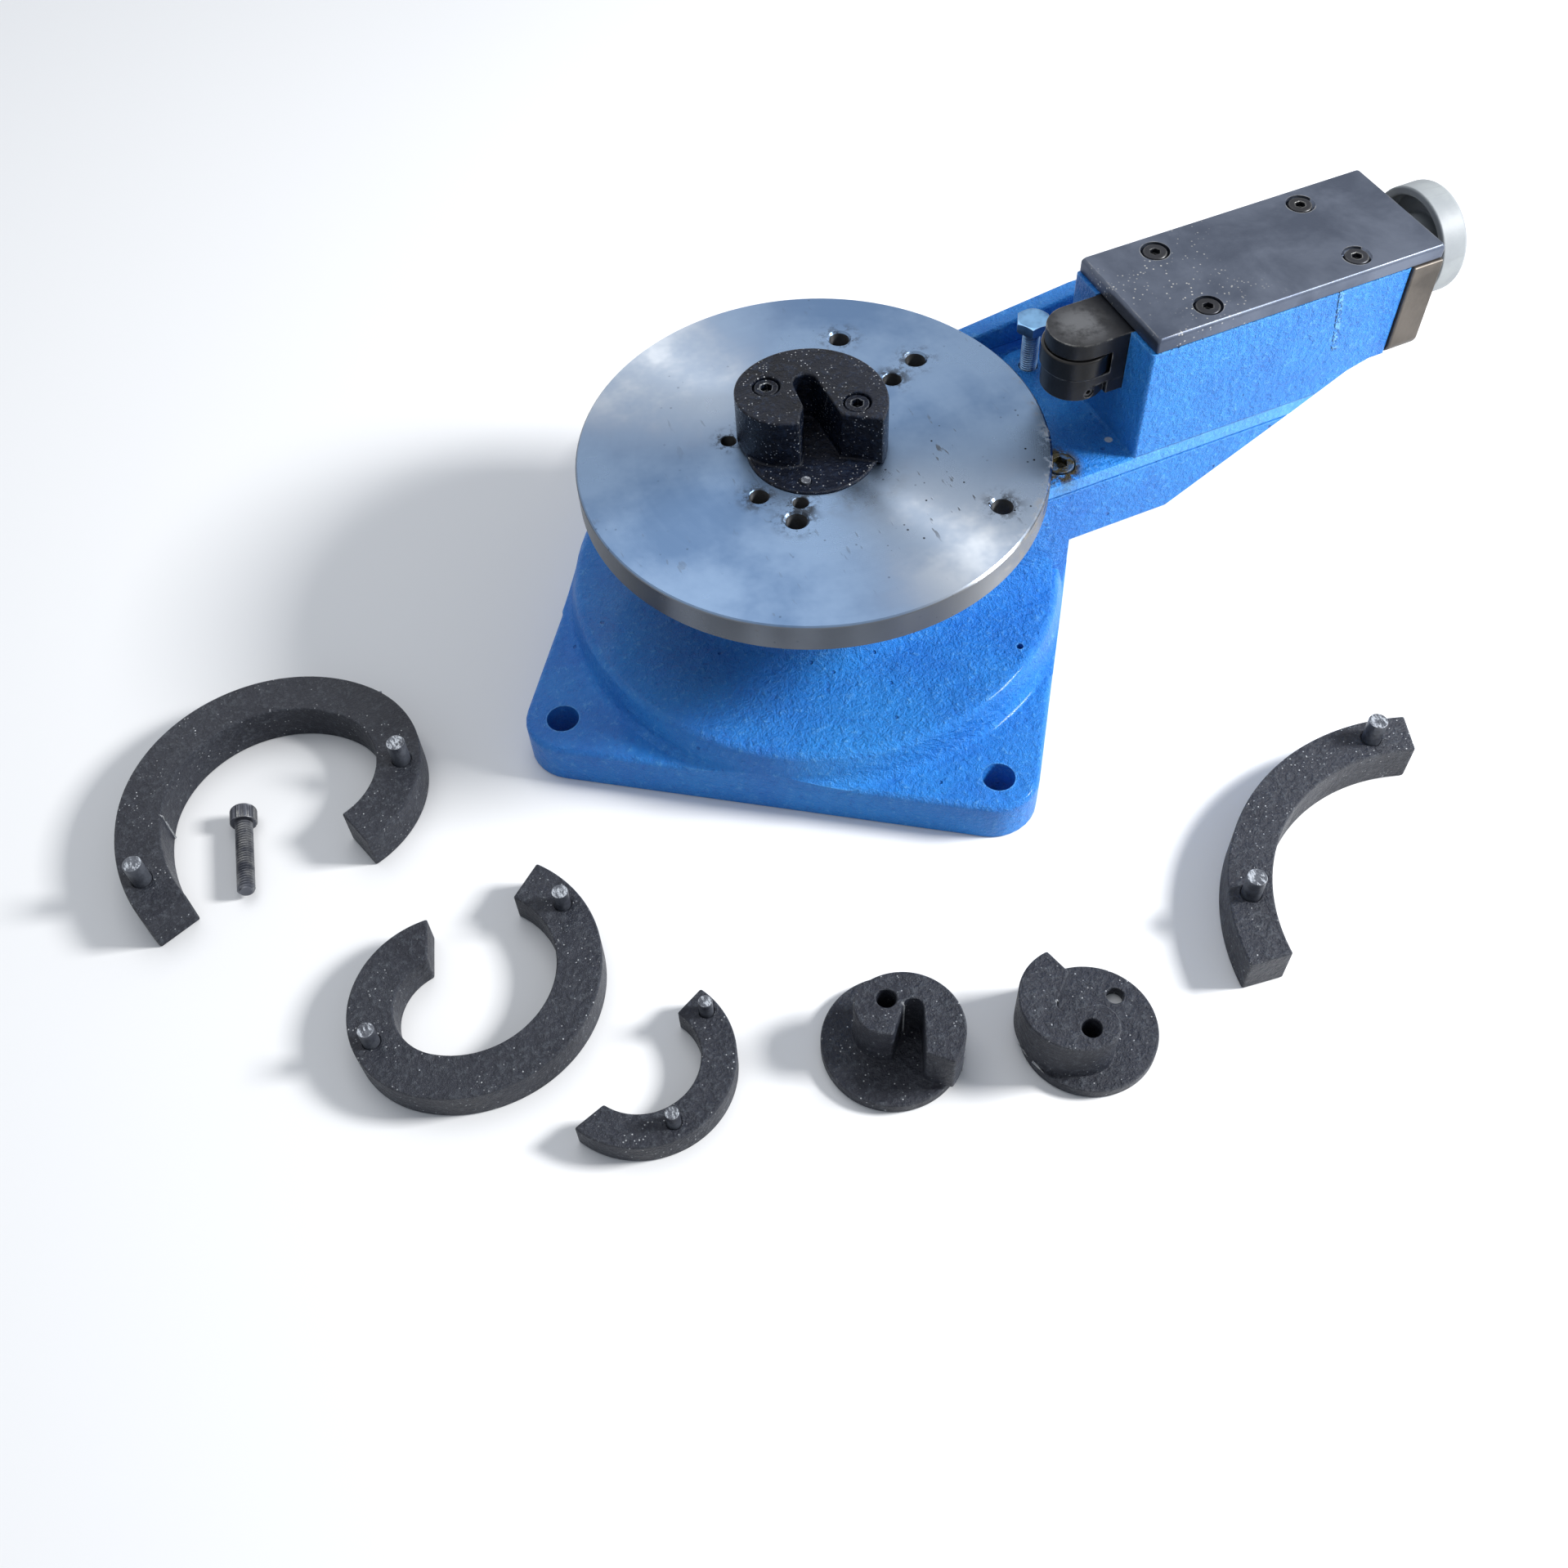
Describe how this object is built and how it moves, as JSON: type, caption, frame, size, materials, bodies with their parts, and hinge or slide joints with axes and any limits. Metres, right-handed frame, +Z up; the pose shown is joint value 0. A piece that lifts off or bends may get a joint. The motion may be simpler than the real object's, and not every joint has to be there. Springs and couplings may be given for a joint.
{
  "type": "scroll bender",
  "caption": "Bench scroll bender: square-footed base, turning faceplate with a slotted centre former, screw-fed slide with a pressure roller, and loose scroll formers.",
  "frame": {"origin": "spindle axis at the underside of the foot, the centre of its four bolt holes", "axes": "+Z up along the spindle, +X along the arm towards the knob, +Y to the far side"},
  "size_m": [0.781, 0.5242, 0.1895],
  "materials": {
    "blue_paint": "saturated blue paint over rough casting",
    "machined_steel": "turned, worn",
    "dark_steel": "oiled, worn bright at the edges",
    "black_oxide": "black oxide",
    "cast_iron": "rough black casting",
    "zinc_plate": "zinc plated",
    "bronze": "bearing bronze",
    "grey_plastic": "light grey, satin",
    "rubber": "matt black"
  },
  "bodies": {
    "base": {"base_casting": "blue_paint", "slide_housing": "blue_paint", "housing_front_screw": "dark_steel", "housing_rear_bolt": "zinc_plate", "housing_rear_washer": "zinc_plate", "top_plate": "dark_steel", "top_plate_screws": "black_oxide", "end_plate": "dark_steel", "end_plate_screws": "black_oxide", "end_plate_bush": "bronze", "inner_thrust_washer": "bronze", "outer_thrust_washer": "bronze", "upper_bearing_outer_race": "machined_steel", "lower_bearing_outer_race": "machined_steel", "lower_bearing_ring": "dark_steel", "spindle_seal": "rubber"},
    "raised_bolt": {"raised_hex_bolt": "zinc_plate"},
    "faceplate_group": {"spindle": "machined_steel", "upper_bearing_inner_race": "machined_steel", "upper_bearing_balls": "machined_steel", "lower_bearing_inner_race": "machined_steel", "lower_bearing_balls": "machined_steel", "spindle_lock_washer": "dark_steel", "spindle_nut": "dark_steel", "faceplate": "machined_steel", "faceplate_screws": "dark_steel", "centre_former": "cast_iron", "former_screws": "black_oxide", "former_dowel": "machined_steel"},
    "slide_group": {"slide_bar": "cast_iron", "slide_nut": "bronze", "slide_nut_screw": "dark_steel", "roller_pin": "machined_steel", "roller_pin_screw": "dark_steel"},
    "roller_group": {"pressure_roller": "dark_steel", "roller_bush": "bronze"},
    "feed_group": {"feed_screw": "machined_steel", "thrust_collar": "machined_steel", "collar_pin": "dark_steel", "knob": "grey_plastic", "knob_washer": "zinc_plate", "knob_screw": "zinc_plate"},
    "loose_large_segment": {"large_segment": "cast_iron", "large_segment_pins": "machined_steel"},
    "loose_middle_segment": {"middle_segment": "cast_iron", "middle_segment_pins": "machined_steel"},
    "loose_small_segment": {"small_segment": "cast_iron", "small_segment_pins": "machined_steel"},
    "loose_long_segment": {"long_segment": "cast_iron", "long_segment_pins": "machined_steel"},
    "loose_spare_former_a": {"spare_former_a": "cast_iron"},
    "loose_spare_former_b": {"spare_former_b": "cast_iron"},
    "loose_cap_screw": {"loose_cap_screw": "black_oxide"}
  },
  "joints": [
    {"name": "faceplate_turn", "type": "hinge", "parent": "base", "child": "faceplate_group", "pos_m": [0, 0, 0.131], "axis": [0, 0, 1], "continuous": true},
    {"name": "feed_screw_turn", "type": "hinge", "parent": "base", "child": "feed_group", "pos_m": [0.318, -0.0244, 0.1595], "axis": [1, 0, 0], "range_deg": [0, 6760]},
    {"name": "slide_feed", "type": "slide", "parent": "base", "child": "slide_group", "axis": [-1, 0, 0], "range_m": [0, 0.075]},
    {"name": "roller_spin", "type": "hinge", "parent": "slide_group", "child": "roller_group", "pos_m": [0.14, -0.0244, 0.1555], "axis": [0, 0, 1], "continuous": true},
    {"name": "raised_bolt_slide", "type": "slide", "parent": "base", "child": "raised_bolt", "axis": [0, 0, 1], "range_m": [-0.0262, 0.012]},
    {"name": "loose_large_segment_lift", "type": "slide", "parent": "base", "child": "loose_large_segment", "axis": [0, 0, 1], "range_m": [0, 0.15]},
    {"name": "loose_middle_segment_lift", "type": "slide", "parent": "base", "child": "loose_middle_segment", "axis": [0, 0, 1], "range_m": [0, 0.15]},
    {"name": "loose_small_segment_lift", "type": "slide", "parent": "base", "child": "loose_small_segment", "axis": [0, 0, 1], "range_m": [0, 0.15]},
    {"name": "loose_long_segment_lift", "type": "slide", "parent": "base", "child": "loose_long_segment", "axis": [0, 0, 1], "range_m": [0, 0.15]},
    {"name": "loose_spare_former_a_lift", "type": "slide", "parent": "base", "child": "loose_spare_former_a", "axis": [0, 0, 1], "range_m": [0, 0.15]},
    {"name": "loose_spare_former_b_lift", "type": "slide", "parent": "base", "child": "loose_spare_former_b", "axis": [0, 0, 1], "range_m": [0, 0.15]},
    {"name": "loose_cap_screw_lift", "type": "slide", "parent": "base", "child": "loose_cap_screw", "axis": [0, 0, 1], "range_m": [0, 0.15]}
  ],
  "couplings": [
    {"joint": "feed_screw_turn", "follows": "slide_feed", "rad_per_m": 1570.8}
  ]
}
